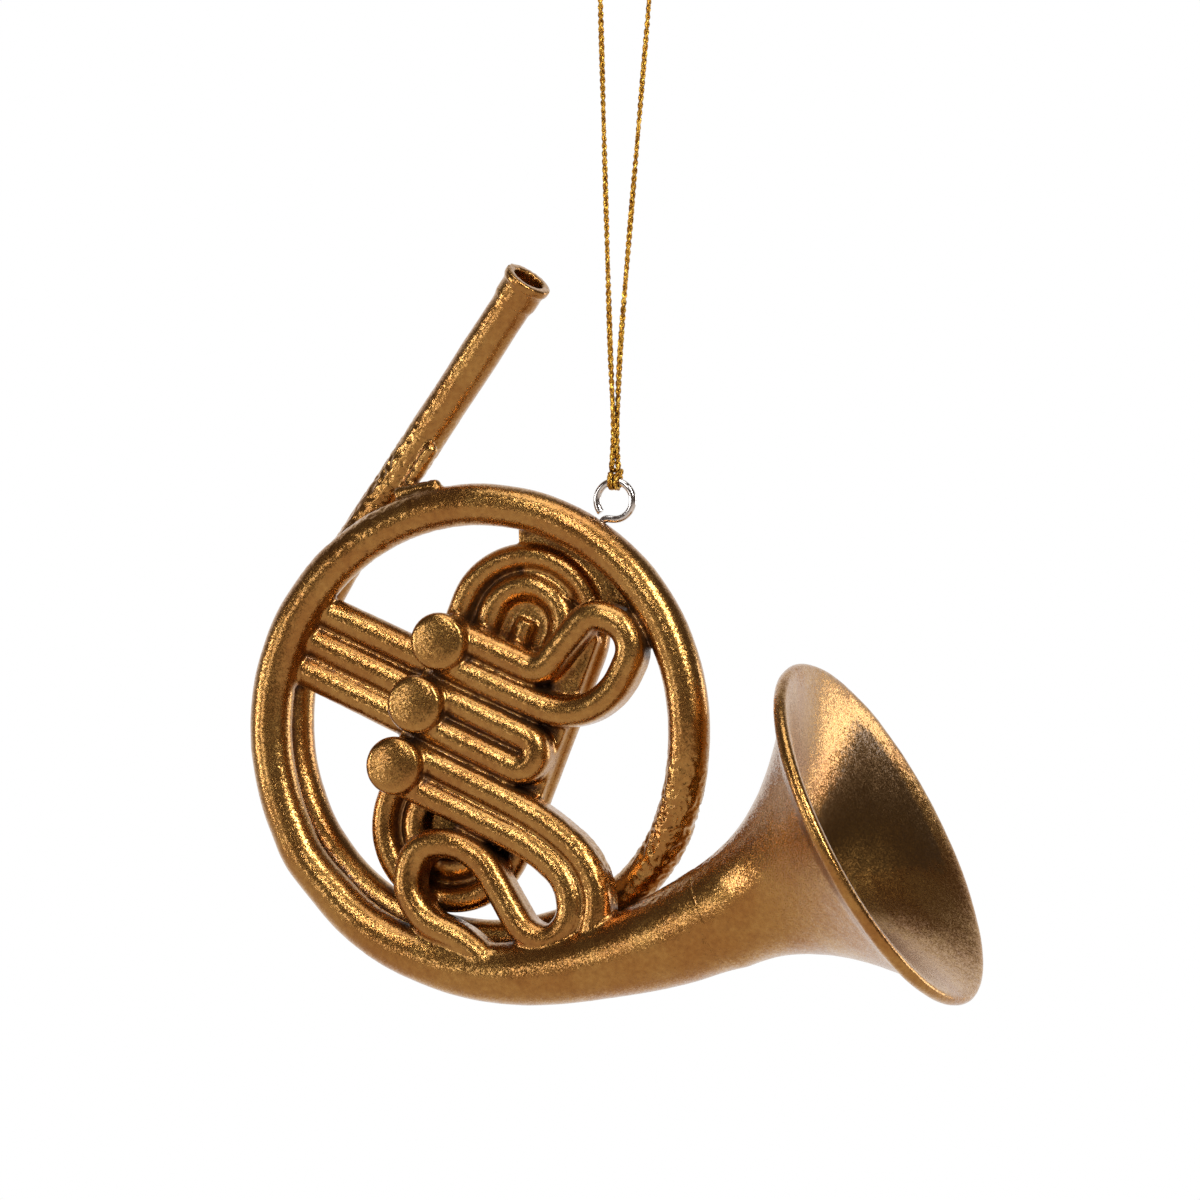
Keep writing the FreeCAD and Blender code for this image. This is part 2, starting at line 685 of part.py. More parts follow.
def make_knot(loop_top):
    """The knot on the loop's left shoulder, with its two short ends."""
    first_arc = loop_top.Spine[0].Shape.OrderedEdges[0]
    middle = first_arc.valueAt((first_arc.FirstParameter + first_arc.LastParameter) / 2)
    ball = document.addObject("Part::Sphere", "cord_knot_ball")
    ball.setExpression("Radius", "sizes.knot_radius")
    ball.Placement = Placement(middle, Rotation())
    ends = []
    for number, direction in enumerate((Vector(-1, 0.25, 0.75), Vector(-0.75, -0.25, 1)), start=1):
        end = document.addObject("Part::Cylinder", "cord_knot_end_%d" % number)
        end.setExpression("Radius", "sizes.cord_radius")
        end.setExpression("Height", "sizes.knot_end_length")
        end.Placement = Placement(middle, Rotation(UPWARD, direction))
        ends.append(end)
    return node(cut("cord_knot", joined("cord_knot_solid", [ball] + ends), [loop_top]))


def make_hitch():
    """Two turns round the eye's wire, and the bight behind the strands."""
    middle = eye_centre() + UPWARD * size("eye_radius")
    for name, side in (("hitch_wrap_left", -1), ("hitch_wrap_right", 1)):
        wrap = document.addObject("Part::Torus", name)
        wrap.setExpression("Radius1", "sizes.wrap_radius")
        wrap.setExpression("Radius2", "sizes.cord_radius")
        wrap.Placement = Placement(middle + TO_RIGHT * (side * size("wrap_spacing") / 2),
                                   Rotation(UPWARD, TO_RIGHT))
        node(wrap)
    bight_centre = eye_centre() + UPWARD * (size("eye_radius") + size("bight_rise"))
    reach = []
    for angle in (35, 90, 145):
        turn = math.radians(angle)
        reach.append(bight_centre + Vector(math.cos(turn), math.sin(turn), 0) * size("bight_radius"))
    node(tube("hitch_bight", [Part.Arc(*reach).toShape()], "cord_radius"))


# ---------------------------------------------------------------- building and writing

def build():
    screw_eye = make_screw_eye()
    main_coil, back_coil, leadpipe = make_coil(screw_eye)
    make_receiver()
    make_brace(leadpipe, main_coil)
    bell_tail = make_bell_tail()
    make_bell()
    casings = make_valves()
    slides = make_slides(casings, bell_tail, main_coil)
    outer, inner, nub, web = make_loops(bell_tail, main_coil, back_coil)
    bed = make_bed([outer, inner, nub])
    make_levers(casings + [main_coil, back_coil, leadpipe, outer, bed])
    make_bracket([main_coil, outer, inner, web, slides[0]])
    cords = make_cord()
    make_knot(cords["cord_loop_top"])
    make_hitch()
    document.recompute()


def check():
    for item in document.Objects:
        if "Invalid" in item.State or "Error" in item.State:
            raise RuntimeError("%s did not build: %s" % (item.Label, item.State))
    failed = [piece.Label for piece in nodes
              if piece.Shape.isNull() or not piece.Shape.isValid() or not piece.Shape.Solids]
    if failed:
        raise RuntimeError("no valid solid: " + ", ".join(failed))


def write():
    os.makedirs("parts", exist_ok=True)
    for piece in nodes:
        piece.Shape.exportStep("parts/%s.step" % piece.Label)
    print("%d pieces written" % len(nodes))


build()
check()
write()
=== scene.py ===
import json
import math

import bmesh
import bpy
import numpy as np
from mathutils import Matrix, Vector, noise
from mathutils.bvhtree import BVHTree


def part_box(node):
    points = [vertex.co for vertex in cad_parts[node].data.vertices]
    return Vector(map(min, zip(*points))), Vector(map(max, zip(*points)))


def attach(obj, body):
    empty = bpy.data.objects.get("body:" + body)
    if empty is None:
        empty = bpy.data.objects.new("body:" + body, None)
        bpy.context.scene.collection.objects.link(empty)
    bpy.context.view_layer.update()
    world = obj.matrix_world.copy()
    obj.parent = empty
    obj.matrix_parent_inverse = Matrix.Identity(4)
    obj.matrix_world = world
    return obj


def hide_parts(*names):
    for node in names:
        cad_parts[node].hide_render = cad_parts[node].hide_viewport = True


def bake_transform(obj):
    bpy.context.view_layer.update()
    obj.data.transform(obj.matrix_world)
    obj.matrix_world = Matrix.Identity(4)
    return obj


# A hanging french horn ornament: a cast horn in antique gold paint with mica in it, a nickel screw eye,
# and a loop of braided metallic cord.  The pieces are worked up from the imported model's own solids.
# Lengths are in metres, and those that are easier to read in millimetres are multiplied by MM.

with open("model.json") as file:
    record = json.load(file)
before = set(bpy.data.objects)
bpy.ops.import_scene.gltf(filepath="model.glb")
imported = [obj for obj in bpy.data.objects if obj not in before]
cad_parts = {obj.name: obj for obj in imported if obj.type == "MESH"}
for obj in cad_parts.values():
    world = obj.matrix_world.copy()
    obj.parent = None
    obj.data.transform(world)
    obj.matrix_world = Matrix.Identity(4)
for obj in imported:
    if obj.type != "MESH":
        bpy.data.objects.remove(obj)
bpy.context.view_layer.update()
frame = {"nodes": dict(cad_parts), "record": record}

MM = 0.001
UP = Vector((0, 0, 1))
COIL_CENTRE = Vector((-20.4, -0.8, -104.1)) * MM
EYE_CENTRE = Vector((-1.35, 0, -73.6)) * MM
EYE_RADIUS = 2.575 * MM


def on_horn(x, y, z):
    """A place given in millimetres from the front coil's centre."""
    return COIL_CENTRE + Vector((x, y, z)) * MM


# ---------------------------------------------------------------- camera

CAMERA_AZIMUTH = math.radians(20)
CAMERA_DISTANCE = 2.5
CAMERA_AIM = (16.17, 16.99)    # how far right of the front coil's centre and above it, in mm
FRAME_WIDTH = 163.1 * MM
CAMERA_RIGHT = Vector((math.cos(CAMERA_AZIMUTH), math.sin(CAMERA_AZIMUTH), 0))
CAMERA_BACK = Vector((math.sin(CAMERA_AZIMUTH), -math.cos(CAMERA_AZIMUTH), 0))


def make_camera():
    data = bpy.data.cameras.new("camera")
    data.lens = data.sensor_width * CAMERA_DISTANCE / FRAME_WIDTH
    camera = bpy.data.objects.new("camera", data)
    right, above = CAMERA_AIM
    target = COIL_CENTRE + CAMERA_RIGHT * right * MM + UP * above * MM
    camera.location = target + CAMERA_BACK * CAMERA_DISTANCE
    camera.rotation_mode = "QUATERNION"
    camera.rotation_quaternion = (-CAMERA_BACK).to_track_quat("-Z", "Y")
    bpy.context.scene.collection.objects.link(camera)
    bpy.context.scene.camera = camera


make_camera()


# ---------------------------------------------------------------- mesh helpers

SPLINE_RESOLUTION = 48


def new_piece(name, mesh, material):
    piece = bpy.data.objects.new(name, mesh)
    bpy.context.scene.collection.objects.link(piece)
    mesh.materials.clear()
    mesh.materials.append(material)
    for polygon in mesh.polygons:
        polygon.use_smooth = True
    return piece


def vertex_array(mesh):
    places = np.empty(len(mesh.vertices) * 3, np.float32)
    mesh.vertices.foreach_get("co", places)
    return places.reshape(-1, 3).astype(float)


def frames_along(points):
    """Unit tangents, and two unit normals carried along the path without twist."""
    tangents = np.gradient(points, axis=0)
    tangents /= np.linalg.norm(tangents, axis=1)[:, None]
    first = np.cross(tangents[0], [0, 1, 0])
    if np.linalg.norm(first) < 0.1:
        first = np.cross(tangents[0], [1, 0, 0])
    sides = np.empty_like(points)
    sides[0] = first / np.linalg.norm(first)
    for i in range(1, len(points)):
        side = sides[i - 1] - tangents[i] * (sides[i - 1] @ tangents[i])
        sides[i] = side / np.linalg.norm(side)
    return tangents, sides, np.cross(tangents, sides)


def even_steps(points, step):
    """The same line with its points one step apart."""
    lengths = np.concatenate([[0], np.cumsum(np.linalg.norm(np.diff(points, axis=0), axis=1))])
    wanted = np.linspace(0, lengths[-1], max(4, int(round(lengths[-1] / step))))
    return np.stack([np.interp(wanted, lengths, points[:, axis]) for axis in range(3)], axis=1)


def spline_points(places):
    """Points of a smooth NURBS line that has these places, in metres, as its control points."""
    curve = bpy.data.curves.new("route", "CURVE")
    curve.dimensions = "3D"
    spline = curve.splines.new("NURBS")
    spline.points.add(len(places) - 1)
    for point, place in zip(spline.points, places):
        point.co = (*place, 1)
    spline.order_u = 3
    spline.use_endpoint_u = True
    spline.resolution_u = SPLINE_RESOLUTION
    holder = bpy.data.objects.new("route", curve)
    bpy.context.scene.collection.objects.link(holder)
    mesh = bpy.data.meshes.new_from_object(holder)
    points = vertex_array(mesh)
    bpy.data.objects.remove(holder)
    bpy.data.curves.remove(curve)
    bpy.data.meshes.remove(mesh)
    return points


def face_outward(mesh):
    """Turns every face's front to the outside."""
    surface = bmesh.new()
    surface.from_mesh(mesh)
    bmesh.ops.recalc_face_normals(surface, faces=surface.faces)
    surface.to_mesh(mesh)
    surface.free()


class Shell:
    """Vertices and faces gathered from several tubes, with one tone value a tube."""

    def __init__(self):
        self.places = []
        self.faces = []
        self.tones = []
        self.count = 0

    def add_tube(self, centres, sides, rises, half_widths, half_heights, tone=0.0, around=8):
        """A closed tube: one elliptical ring of vertices at each centre, and a flat face at each end."""
        rings = len(centres)
        angles = np.arange(around) * 2 * math.pi / around
        wide = np.outer(np.broadcast_to(half_widths, rings), np.cos(angles))
        high = np.outer(np.broadcast_to(half_heights, rings), np.sin(angles))
        places = centres[:, None] + wide[..., None] * sides[:, None] + high[..., None] * rises[:, None]
        first = self.count
        for ring in range(rings - 1):
            for k in range(around):
                a = first + ring * around + k
                b = first + ring * around + (k + 1) % around
                self.faces.append((a, b, b + around, a + around))
        last = first + (rings - 1) * around
        self.faces.append(tuple(range(first + around - 1, first - 1, -1)))
        self.faces.append(tuple(range(last, last + around)))
        self.places.append(places.reshape(-1, 3))
        self.tones.append(np.full(rings * around, tone))
        self.count += rings * around

    def piece(self, name, material):
        mesh = bpy.data.meshes.new(name)
        mesh.from_pydata(np.concatenate(self.places).tolist(), [], self.faces)
        tone = mesh.attributes.new("tone", "FLOAT", "POINT")
        tone.data.foreach_set("value", np.concatenate(self.tones).astype(np.float32))
        face_outward(mesh)
        return new_piece(name, mesh, material)


# ---------------------------------------------------------------- materials

def add_node(tree, kind, inputs=(), **settings):
    """A shader node; an input is a value, or another node's output to join to it."""
    made = tree.nodes.new("ShaderNode" + kind)
    for name, value in settings.items():
        setattr(made, name, value)
    for key, value in dict(inputs).items():
        if isinstance(value, bpy.types.NodeSocket):
            tree.links.new(value, made.inputs[key])
        else:
            made.inputs[key].default_value = value
    return made


class Shader:
    """A material's node tree, with short calls to add and join nodes."""

    def __init__(self, name):
        self.material = bpy.data.materials.new(name)
        self.material.use_nodes = True
        self.tree = self.material.node_tree
        self.tree.nodes.clear()
        self.output = self.tree.nodes.new("ShaderNodeOutputMaterial")

    def node(self, kind, inputs=(), **settings):
        return add_node(self.tree, kind, inputs, **settings)

    def maths(self, operation, a, b):
        return self.node("Math", {0: a, 1: b}, operation=operation).outputs[0]

    def vector_maths(self, operation, a, b=(0, 0, 0)):
        return self.node("VectorMath", {0: a, 1: b}, operation=operation).outputs[0]

    def steps(self, value, low, high, to_low=0.0, to_high=1.0):
        """Goes smoothly from to_low to to_high as the value goes from low to high."""
        return self.node("MapRange", {"Value": value, "From Min": low, "From Max": high,
                                      "To Min": to_low, "To Max": to_high},
                         interpolation_type="SMOOTHSTEP").outputs[0]

    def mix(self, factor, a, b, blend="MIX"):
        made = self.node("Mix", {0: factor, 6: a, 7: b}, data_type="RGBA", blend_type=blend)
        return made.outputs[2]

    def ramp(self, factor, stops):
        made = self.node("ValToRGB", {"Fac": factor})
        elements = made.color_ramp.elements
        while len(elements) < len(stops):
            elements.new(0.5)
        for element, (position, colour) in zip(elements, stops):
            element.position = position
            element.color = (*colour, 1)
        return made.outputs["Color"]

    def noise(self, coordinates, size, detail=2.0, roughness=0.5):
        """Cloudy noise, from 0 to 1, whose largest patches are about this size in metres."""
        return self.node("TexNoise", {"Vector": coordinates, "Scale": 1 / size, "Detail": detail,
                                      "Roughness": roughness}).outputs["Fac"]

    def finish(self, surface):
        self.tree.links.new(surface.outputs[0], self.output.inputs["Surface"])
        return self.material


def antique_gold():
    """Gold mica paint on cast resin: glinting flakes, cloudy tone, brown wash with painted shade in the
    grooves, and a painted dark reflection and painted shade in the bell's hollow.
    """
    warmth = (0.88, 0.78, 0.68, 1)
    speck_brown = (0.17, 0.075, 0.018, 1)
    edge_shade_brown = (0.22, 0.080, 0.016, 1)
    wash_and_shade_brown = (0.050, 0.018, 0.005, 1)
    reflection_shade_brown = (0.095, 0.046, 0.011, 1)
    s = Shader("antique_gold")
    place = s.node("TexCoord").outputs["Object"]
    mottle = s.noise(place, 0.8 * MM, 4, 0.65)
    clouds = s.noise(place, 9 * MM, 2)
    specks = s.noise(place, 0.2 * MM, 2, 0.7)
    flakes = s.node("TexVoronoi", {"Vector": place, "Scale": 1 / (0.17 * MM)}).outputs["Color"]
    # Painted shade: ambient occlusion browns the grooves and corners where shade falls, and reddens their
    # rims. The same brown also stands for the antique paint's brown wash there.
    shelter = s.node("AmbientOcclusion", {"Distance": 2.0 * MM}, samples=8).outputs["AO"]
    sheltered = s.maths("ADD", shelter, s.steps(mottle, 0.3, 0.7, -0.10, 0.10))
    wash_and_shade = s.steps(sheltered, 0.90, 0.36)
    tone = s.ramp(mottle, [(0.30, (0.395, 0.186, 0.042)), (0.50, (0.475, 0.238, 0.056)),
                           (0.72, (0.565, 0.310, 0.082))])
    warm = s.mix(s.steps(clouds, 0.42, 0.66), tone, warmth, "MULTIPLY")
    dusty = s.mix(s.steps(specks, 0.55, 0.72, 0.0, 0.5), warm, speck_brown)
    russet_shade = s.mix(s.steps(wash_and_shade, 0.05, 0.5, 0.0, 0.75), dusty, edge_shade_brown)
    washed_and_shaded = s.mix(s.steps(wash_and_shade, 0.45, 1.0, 0.0, 0.9), russet_shade, wash_and_shade_brown)
    # Painted dark reflection and painted shade in the bell's hollow, from the mask that the bell carries.
    reflection_shade = s.node("Attribute", attribute_name="hollow_reflection_shade").outputs["Fac"]
    reflection_shade = s.steps(s.maths("ADD", reflection_shade, s.steps(mottle, 0.3, 0.7, -0.22, 0.22)), 0.15, 0.85)
    colour = s.mix(s.maths("MULTIPLY", reflection_shade, 0.88), washed_and_shaded, reflection_shade_brown)
    tilt = s.vector_maths("SUBTRACT", flakes, (0.5, 0.5, 0.5))
    tilt = s.vector_maths("MULTIPLY", tilt, (0.17, 0.17, 0.17))
    normal = s.node("NewGeometry").outputs["Normal"]
    glint = s.vector_maths("NORMALIZE", s.vector_maths("ADD", normal, tilt))
    relief = s.node("Bump", {"Strength": 0.3, "Distance": 0.04 * MM,
                             "Height": s.noise(place, 0.4 * MM, 4, 0.6), "Normal": glint})
    rough = s.maths("ADD", s.steps(specks, 0.3, 0.75, 0.19, 0.35), s.maths("MULTIPLY", wash_and_shade, 0.15))
    rough = s.maths("ADD", rough, s.maths("MULTIPLY", reflection_shade, 0.12))
    surface = s.node("BsdfPrincipled", {"Base Color": colour, "Roughness": rough,
                                        "Metallic": s.steps(wash_and_shade, 0.3, 1.0, 1.0, 0.55),
                                        "Coat Weight": 0.45, "Coat Roughness": 0.18,
                                        "Normal": relief.outputs[0], "Coat Normal": glint})
    return s.finish(surface)


def nickel():
    """Bright plated wire with fine drawing lines and a little dulling."""
    s = Shader("nickel")
    place = s.node("TexCoord").outputs["Object"]
    dull = s.noise(place, 0.5 * MM, 4, 0.6)
    colour = s.ramp(dull, [(0.35, (0.66, 0.62, 0.59)), (0.65, (0.90, 0.87, 0.84))])
    relief = s.node("Bump", {"Strength": 0.1, "Distance": 0.02 * MM,
                             "Height": s.noise(place, 0.3 * MM, 3, 0.6)})
    surface = s.node("BsdfPrincipled", {"Base Color": colour, "Metallic": 1.0,
                                        "Roughness": s.steps(dull, 0.3, 0.7, 0.08, 0.24),
                                        "Normal": relief.outputs[0]})
    return s.finish(surface)


def gold_yarn():
    """Metallised film wound round yarn: bright facets across each strand, and brown painted shade between
    them.
    """
    between_shade_brown = (0.085, 0.028, 0.005, 1)
    s = Shader("gold_yarn")
    place = s.node("TexCoord").outputs["Object"]
    own = s.node("Attribute", attribute_name="tone").outputs["Fac"]
    facets = s.node("TexVoronoi", {"Vector": place, "Scale": 1 / (0.2 * MM)}).outputs["Color"]
    patch = s.noise(place, 0.35 * MM, 3, 0.6)
    shelter = s.node("AmbientOcclusion", {"Distance": 0.5 * MM}, samples=8).outputs["AO"]
    tone = s.ramp(s.maths("ADD", patch, s.maths("MULTIPLY", own, 0.10)),
                  [(0.32, (0.26, 0.105, 0.012)), (0.50, (0.62, 0.31, 0.035)),
                   (0.68, (0.92, 0.58, 0.10))])
    # Painted shade between the strands: ambient occlusion darkens the colour to brown where the yarn is
    # sheltered.
    colour = s.mix(s.steps(shelter, 0.80, 0.30), tone, between_shade_brown)
    tilt = s.vector_maths("SUBTRACT", facets, (0.5, 0.5, 0.5))
    tilt = s.vector_maths("MULTIPLY", tilt, (0.9, 0.9, 0.9))
    normal = s.node("NewGeometry").outputs["Normal"]
    glint = s.vector_maths("NORMALIZE", s.vector_maths("ADD", normal, tilt))
    surface = s.node("BsdfPrincipled", {"Base Color": colour, "Metallic": 0.92,
                                        "Roughness": s.steps(patch, 0.3, 0.7, 0.22, 0.4),
                                        "Normal": glint})
    return s.finish(surface)


GOLD = antique_gold()
NICKEL = nickel()
YARN = gold_yarn()


# ---------------------------------------------------------------- cord, hitch and knot

PLAIT_LENGTH = 3.15 * MM
PLAIT_SWING = 0.20 * MM
PLAIT_DEPTH = 0.13 * MM
YARN_RADIUS = 0.205 * MM
PLAIT_STEP = 0.13 * MM
PLAIT_TURN = 38 * MM
YARN_WIDE, YARN_HIGH = 1.08, 0.92     # the yarn is a little flattened
TIP_SIZE, TIP_LENGTH = 0.35, 0.3 * MM     # each end starts this slim, and grows by a whole yarn in this
BEAD, BEAD_LENGTH = 0.07, 0.42 * MM     # how much the yarn swells and pinches, and how often


def add_plait(shell, points, phase=0.0, splay=None):
    """A flat plait of three strands along a line, which slowly turns round it.

    The splay, where there is one, says how much wider than usual the plait is at each place."""
    centres = even_steps(points, PLAIT_STEP)
    tangents, sides, rises = frames_along(centres)
    along = np.arange(len(centres)) * np.linalg.norm(centres[1] - centres[0])
    turn = phase + 2 * math.pi * along / PLAIT_TURN
    across = sides * np.cos(turn)[:, None] + rises * np.sin(turn)[:, None]
    depth = np.cross(tangents, across)
    spread = np.ones(len(centres)) if splay is None else splay(along, along[-1])
    for strand in range(3):
        swing = 2 * math.pi * (along / PLAIT_LENGTH + strand / 3)
        lane = centres + across * (PLAIT_SWING * np.sin(swing) * spread)[:, None]
        lane = lane + depth * (PLAIT_DEPTH * np.sin(2 * swing) * spread)[:, None]
        _, lane_sides, lane_rises = frames_along(lane)
        taper = np.minimum(1, TIP_SIZE + np.minimum(along, along[-1] - along) / TIP_LENGTH)
        pulse = 1 + BEAD * np.sin(2 * math.pi * along / BEAD_LENGTH + strand)
        shell.add_tube(lane, lane_sides, lane_rises, YARN_RADIUS * YARN_WIDE * taper * pulse,
                       YARN_RADIUS * YARN_HIGH * taper * pulse, tone=strand - 1.0)


CORD_PLACES = [Vector(place) * MM for place in (
    (-1.84, -0.05, -69.6), (-1.58, -0.15, -67.6), (-1.34, -0.38, -64.0), (-1.72, -0.22, -58.0),
    (-2.10, -0.10, -50.0), (-3.45, 0, -5.5), (-3.57, 0, 0.38), (4.05, 0, 0.38), (3.66, 0, -5.5),
    (-0.42, 0.10, -50.0), (-0.92, 0.22, -58.0), (-1.18, 0.38, -64.0), (-1.06, 0.15, -67.6),
    (-0.78, -0.05, -69.6))]


def make_cord():
    points = spline_points(CORD_PLACES)
    shell = Shell()
    add_plait(shell, points, 0.4)
    cord = shell.piece("cord", YARN)
    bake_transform(cord)
    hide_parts("cord_leg_left", "cord_leg_right", "cord_loop_top", "cord_neck_left",
                "cord_neck_right")
    return cord, points


WIRE_TOP = EYE_CENTRE + UP * EYE_RADIUS
WRAP_FROM, WRAP_TO = -115, 240     # degrees round the wire from its top, towards the front
WRAP_STEPS = 90
WRAP_OFFSET = 0.45 * MM
WRAP_REACH = 0.94 * MM


def make_wrap(name, side):
    """One of the hitch's two turns, nearly once round the wire: over it, down in front, and under it."""
    shell = Shell()
    turn = np.radians(np.linspace(WRAP_FROM, WRAP_TO, WRAP_STEPS))
    centre = WIRE_TOP + Vector((side * WRAP_OFFSET, 0, 0))
    drift = side * np.linspace(0.06, -0.10, WRAP_STEPS) * MM
    points = np.stack([centre.x + drift, centre.y - WRAP_REACH * np.sin(turn),
                       centre.z + WRAP_REACH * np.cos(turn)], axis=1)
    add_plait(shell, points, 1.2 * side)
    wrap = shell.piece(name + "_turn", YARN)
    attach(wrap, "hitch")
    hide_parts(name)
    return wrap


def make_bight():
    """The cord between the hitch's two turns, which passes behind the strands."""
    shell = Shell()
    places = [WIRE_TOP + Vector(place) * MM for place in (
        (-0.50, -0.30, 0.80), (-0.74, 0.2, 1.15), (-0.62, 0.78, 1.45), (0, 0.92, 1.55),
        (0.62, 0.78, 1.45), (0.74, 0.2, 1.15), (0.50, -0.30, 0.80))]
    add_plait(shell, spline_points(places))
    bight = shell.piece("hitch_bight_turn", YARN)
    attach(bight, "cord_neck")
    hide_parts("hitch_bight")
    return bight


KNOT_RADIUS = 1.05 * MM
KNOT_SCALE = 0.29
SPLAY, SPLAY_LENGTH = 2.2, 1.2 * MM


def make_knot():
    """An overhand knot in the cord's two ends, which stand out from it with their strands splayed."""
    low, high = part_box("cord_knot")
    middle = Vector((high[0] - KNOT_RADIUS, 0, low[2] + KNOT_RADIUS))
    shell = Shell()
    t = np.linspace(0.15, 2 * math.pi - 0.15, 140)
    loop = np.stack([np.sin(t) + 2 * np.sin(2 * t), -np.sin(3 * t) * 1.25,
                     np.cos(t) - 2 * np.cos(2 * t)], axis=1)
    points = np.array(middle) + loop * KNOT_SCALE * MM
    add_plait(shell, points)

    def splay(along, length):
        return 1 + SPLAY * np.clip((along - length + SPLAY_LENGTH) / SPLAY_LENGTH, 0, 1) ** 1.5

    ends = [((0, 0.1, 0), (-0.9, 0.35, 0.8), (-1.9, 0.6, 2.1), (-2.5, 0.9, 2.9)),
            ((0, -0.1, 0), (-0.7, -0.4, 1.1), (-1.3, -0.6, 2.3), (-1.9, -0.8, 3.3))]
    for number, places in enumerate(ends):
        places = [middle + Vector(place) * MM for place in places]
        add_plait(shell, spline_points(places), number * 1.1, splay)
    knot = shell.piece("cord_knot_tied", YARN)
    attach(knot, "cord_loop")
    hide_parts("cord_knot")
    return knot


cord, cord_points = make_cord()
on_cord = [make_knot(), make_bight(), make_wrap("hitch_wrap_left", -1),
           make_wrap("hitch_wrap_right", 1)]


# ---------------------------------------------------------------- the cast horn

VOXEL = {"main_coil": 0.28, "bell_tail": 0.3}     # in mm, as is the next
FINE_VOXEL = 0.22
CAST_ROUNDS = 5
TOUCHING = 0.02 * MM
LAP, LAP_SIZE = 0.9 * MM, 0.95
CAP_DOME = 0.45 * MM

# Pieces that are one run of tube on the real casting: the end of each is carried on into the next.
LAPPED_ENDS = {"main_coil": ["bell_tail", "back_coil"], "back_coil": ["main_coil", "leadpipe"],
               "leadpipe": ["back_coil", "mouthpiece_receiver"], "bell_tail": ["main_coil", "bell_flare"]}

# The cast surface's unevenness: the size of its bumps, and how far the larger two stand out in mm.
BROAD_SIZE, BROAD_LIFT = 6.5 * MM, 0.075
CLOSE_SIZE, CLOSE_LIFT = 1.7 * MM, 0.022
CHIP_SIZE = 1.1 * MM

# Where the casting is roughest, by its middle, its reach and the depth of its chips in mm: the coil's
# right just above the bell's tail, and the leadpipe's lower half.
CHIPPED_PLACES = [(on_horn(27.0, 1, -14), 9, 0.6), (on_horn(-17, 3, 34), 12, 0.28)]


def cast_noise(place):
    """How far the hand-cast surface stands out from the true one, in metres."""
    broad = noise.noise(place / BROAD_SIZE) * BROAD_LIFT
    close = noise.noise(place / CLOSE_SIZE) * CLOSE_LIFT
    chipped = sum(depth * math.exp(-((place - middle).length / (reach * MM)) ** 2)
                  for middle, reach, depth in CHIPPED_PLACES)
    chips = abs(noise.noise(place / CHIP_SIZE)) * chipped
    return (broad + close - chips) * MM


def touching_places(node, neighbour):
    """A node's vertices that lie on another node."""
    other = frame["nodes"][neighbour].data
    tree = BVHTree.FromPolygons([vertex.co for vertex in other.vertices],
                                [polygon.vertices for polygon in other.polygons])
    places = [vertex.co for vertex in frame["nodes"][node].data.vertices]
    return [place for place in places if tree.find_nearest(place, TOUCHING)[0] is not None]


def lap_end(mesh, node, neighbour):
    """Carries a piece's flat end on into the piece that it meets, a little slimmer."""
    seam = np.array(touching_places(node, neighbour) + touching_places(neighbour, node))
    middle = seam.mean(axis=0)
    across = np.linalg.svd(seam - middle)[2][2]
    places = vertex_array(mesh)
    reach = 1.1 * np.linalg.norm(seam - middle, axis=1).max()
    at_end = np.abs((places - middle) @ across) < TOUCHING
    at_end &= np.linalg.norm(places - middle, axis=1) < reach
    chosen = set(np.nonzero(at_end)[0].tolist())
    outward = np.zeros(3)
    for polygon in mesh.polygons:
        if chosen.issuperset(polygon.vertices):
            outward += np.array(polygon.normal) * polygon.area
    outward /= np.linalg.norm(outward)
    places[at_end] = middle + (places[at_end] - middle) * LAP_SIZE + outward * LAP
    mesh.vertices.foreach_set("co", places.astype(np.float32).ravel())


def remeshed(mesh, voxel, rounds):
    """An even mesh over the same solid, with its edges softened."""
    holder = bpy.data.objects.new("work", mesh)
    bpy.context.scene.collection.objects.link(holder)
    grid = holder.modifiers.new("grid", "REMESH")
    grid.mode = "VOXEL"
    grid.voxel_size = voxel
    soften = holder.modifiers.new("soften", "SMOOTH")
    soften.factor = 0.5
    soften.iterations = rounds
    shown = holder.evaluated_get(bpy.context.evaluated_depsgraph_get())
    even = bpy.data.meshes.new_from_object(shown)
    bpy.data.objects.remove(holder)
    bpy.data.meshes.remove(mesh)
    return even


def roughen(mesh, moved=None):
    """Moves each vertex in or out by the cast surface's unevenness, and then by moved, if it's given."""
    places = vertex_array(mesh)
    normals = np.empty(len(places) * 3, np.float32)
    mesh.vertices.foreach_get("normal", normals)
    lift = np.array([cast_noise(Vector(place)) for place in places])
    places = places + normals.reshape(-1, 3) * lift[:, None]
    if moved is not None:
        places = moved(places)
    mesh.vertices.foreach_set("co", places.astype(np.float32).ravel())
    mesh.update()


def domed(node):
    """Swells a valve cap's face towards the front, most in its middle."""
    low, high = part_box(node)
    centre_x, centre_z = (low[0] + high[0]) / 2, (low[2] + high[2]) / 2
    radius, front, back = (high[0] - low[0]) / 2, low[1], high[1]

    def move(places):
        inward = np.hypot(places[:, 0] - centre_x, places[:, 2] - centre_z) / radius
        height = np.clip((back - places[:, 1]) / (back - front), 0, 1)
        places[:, 1] -= CAP_DOME * height * np.clip(1 - inward ** 2, 0, 1)
        return places
    return move


def gathered_mesh(meshes):
    """Several meshes in one."""
    gathered = bmesh.new()
    for mesh in meshes:
        gathered.from_mesh(mesh)
    result = bpy.data.meshes.new("gathered")
    gathered.to_mesh(result)
    gathered.free()
    return result


